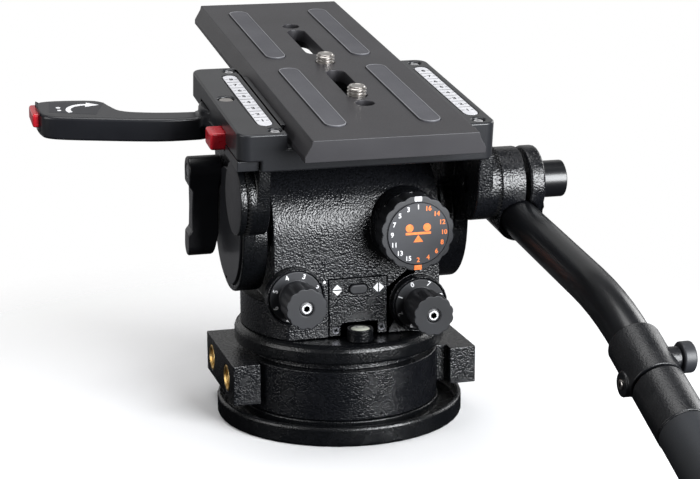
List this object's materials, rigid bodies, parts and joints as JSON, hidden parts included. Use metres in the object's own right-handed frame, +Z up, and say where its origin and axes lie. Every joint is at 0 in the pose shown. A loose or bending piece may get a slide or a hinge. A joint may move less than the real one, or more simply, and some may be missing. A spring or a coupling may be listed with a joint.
{
  "type": "fluid video head",
  "caption": "Fluid pan-and-tilt head with a long sliding camera plate, side release lever, drag and counterbalance dials, and a telescopic pan handle on a rosette.",
  "frame": {"origin": "on the pan axis, on the flat underside of the base flange", "axes": "+Z up along the pan axis, +Y the way the camera looks, +X to the operator's right, where the handle is"},
  "size_m": [0.2542, 0.5208, 0.1968],
  "materials": {
    "grained_paint": "black wrinkle powder coat, glossy grain",
    "satin_black": "satin black moulding",
    "satin_metal": "satin black paint",
    "anodised": "dark grey satin anodised",
    "steel": "turned stainless steel",
    "brass": "turned brass",
    "red": "glossy red plastic",
    "rubber": "dark blue-grey moulded rubber",
    "pad": "grey rubber",
    "strip": "white printed strip",
    "knob_grey": "satin dark grey",
    "vial": "clear vial with yellow-green fluid"
  },
  "bodies": {
    "base": {"base_flange": "grained_paint", "wing_ring": "grained_paint", "accessory_thread_left_rear": "brass", "accessory_thread_left_front": "brass", "accessory_thread_right_rear": "brass", "accessory_thread_right_front": "brass", "pan_spindle": "steel", "pan_drag_cup": "steel", "pan_bearing": "steel"},
    "pan": {"turntable": "grained_paint", "pan_body": "grained_paint", "front_panel": "satin_black", "level_cup": "satin_metal", "level_vial": "vial", "tilt_bearing_left": "steel", "tilt_bearing_right": "steel", "tilt_drag_pack": "steel", "counterbalance_spring": "steel"},
    "tilt": {"platform": "anodised", "platform_cover": "grained_paint", "scale_strip_left": "strip", "scale_strip_right": "strip", "platform_pin": "steel", "cheek_right": "grained_paint", "cheek_cover_right": "satin_metal", "cheek_cover_left": "satin_metal", "cheek_left": "grained_paint", "rosette_cap": "knob_grey", "tilt_axle": "steel"},
    "plate": {"camera_plate": "anodised", "plate_pad_left_rear": "pad", "plate_pad_left_front": "pad", "plate_pad_right_rear": "pad", "plate_pad_right_front": "pad"},
    "front_screw": {"camera_screw_front": "steel"},
    "rear_screw": {"camera_screw_rear": "steel"},
    "jaw": {"clamp_jaw": "satin_metal"},
    "lever": {"release_lever": "satin_metal"},
    "lever_tip": {"lever_tip_button": "red"},
    "release": {"release_button": "red"},
    "tilt_knob": {"tilt_drag_knob": "satin_black", "tilt_drag_screw": "steel"},
    "pan_knob": {"pan_drag_knob": "satin_black", "pan_drag_screw": "steel"},
    "dial": {"counterbalance_dial": "satin_black", "counterbalance_shaft": "steel"},
    "light_button": {"level_light_button": "satin_black"},
    "pan_lock": {"pan_lock_lever": "satin_metal"},
    "tilt_lock": {"tilt_lock_lever": "satin_metal", "tilt_lock_screw": "steel"},
    "handle": {"handle_clamp_inner": "grained_paint", "handle_clamp_outer": "grained_paint", "handle_tube": "satin_metal"},
    "handle_knob": {"handle_lock_knob": "satin_metal"},
    "grip": {"grip_collar": "grained_paint", "grip_tube": "grained_paint", "handle_grip": "rubber"},
    "grip_knob": {"grip_collar_knob": "satin_black"}
  },
  "joints": [
    {"name": "pan", "type": "hinge", "parent": "base", "child": "pan", "pos_m": [0, 0, 0.04], "axis": [0, 0, 1], "continuous": true},
    {"name": "tilt", "type": "hinge", "parent": "pan", "child": "tilt", "pos_m": [0, 0, 0.102], "axis": [1, 0, 0], "range_deg": [-82, 52]},
    {"name": "plate_slide", "type": "slide", "parent": "tilt", "child": "plate", "axis": [0, 0.9911, 0.1335], "range_m": [-0.1, 0.01]},
    {"name": "front_screw_turn", "type": "hinge", "parent": "plate", "child": "front_screw", "pos_m": [0, 0.02435, 0.17591], "axis": [0, -0.1335, 0.9911], "continuous": true},
    {"name": "rear_screw_slide", "type": "slide", "parent": "plate", "child": "rear_screw", "axis": [0, 0.9911, 0.1335], "range_m": [-0.0009, 0.0386]},
    {"name": "lever_swing", "type": "hinge", "parent": "tilt", "child": "lever", "pos_m": [-0.055, -0.00017, 0.15949], "axis": [0, 0.1335, -0.9911], "range_deg": [0, 35]},
    {"name": "jaw_slide", "type": "slide", "parent": "tilt", "child": "jaw", "axis": [-1, 0, 0], "range_m": [0, 0.0015]},
    {"name": "lever_tip_press", "type": "slide", "parent": "lever", "child": "lever_tip", "axis": [1, 0, 0], "range_m": [0, 0.002], "stiffness_N_per_m": 400},
    {"name": "release_press", "type": "slide", "parent": "tilt", "child": "release", "axis": [1, 0, 0], "range_m": [0, 0.004], "stiffness_N_per_m": 400},
    {"name": "tilt_drag_turn", "type": "hinge", "parent": "pan", "child": "tilt_knob", "pos_m": [-0.0332, -0.042, 0.0729], "axis": [0, 1, 0], "range_deg": [-90, 225]},
    {"name": "pan_drag_turn", "type": "hinge", "parent": "pan", "child": "pan_knob", "pos_m": [0.0311, -0.042, 0.0646], "axis": [0, 1, 0], "range_deg": [-45, 270]},
    {"name": "counterbalance_turn", "type": "hinge", "parent": "pan", "child": "dial", "pos_m": [0.025, -0.045, 0.105], "axis": [0, 1, 0], "range_deg": [0, 157.5]},
    {"name": "light_button_press", "type": "slide", "parent": "pan", "child": "light_button", "axis": [0, 1, 0], "range_m": [0, 0.001], "stiffness_N_per_m": 300},
    {"name": "pan_lock_turn", "type": "hinge", "parent": "base", "child": "pan_lock", "pos_m": [-0.018, 0.055, 0.021], "axis": [0, -1, 0], "range_deg": [0, 70]},
    {"name": "tilt_lock_turn", "type": "hinge", "parent": "tilt", "child": "tilt_lock", "pos_m": [-0.066, 0.01859, 0.12801], "axis": [1, 0, 0], "range_deg": [-15, 80]},
    {"name": "handle_turn", "type": "hinge", "parent": "tilt", "child": "handle", "pos_m": [0.076, -0.04998, 0.12695], "axis": [1, 0, 0], "range_deg": [-60, 30]},
    {"name": "handle_knob_turn", "type": "hinge", "parent": "handle", "child": "handle_knob", "pos_m": [0.095, -0.04998, 0.12695], "axis": [1, 0, 0], "continuous": true},
    {"name": "grip_slide", "type": "slide", "parent": "handle", "child": "grip", "axis": [0, -0.9171, -0.3987], "range_m": [0, 0.09]},
    {"name": "grip_knob_turn", "type": "hinge", "parent": "grip", "child": "grip_knob", "pos_m": [0.09, -0.21616, 0.08349], "axis": [1, 0, 0], "continuous": true}
  ],
  "couplings": [
    {"joint": "jaw_slide", "follows": "lever_swing", "m_per_rad": 0.0024555}
  ]
}
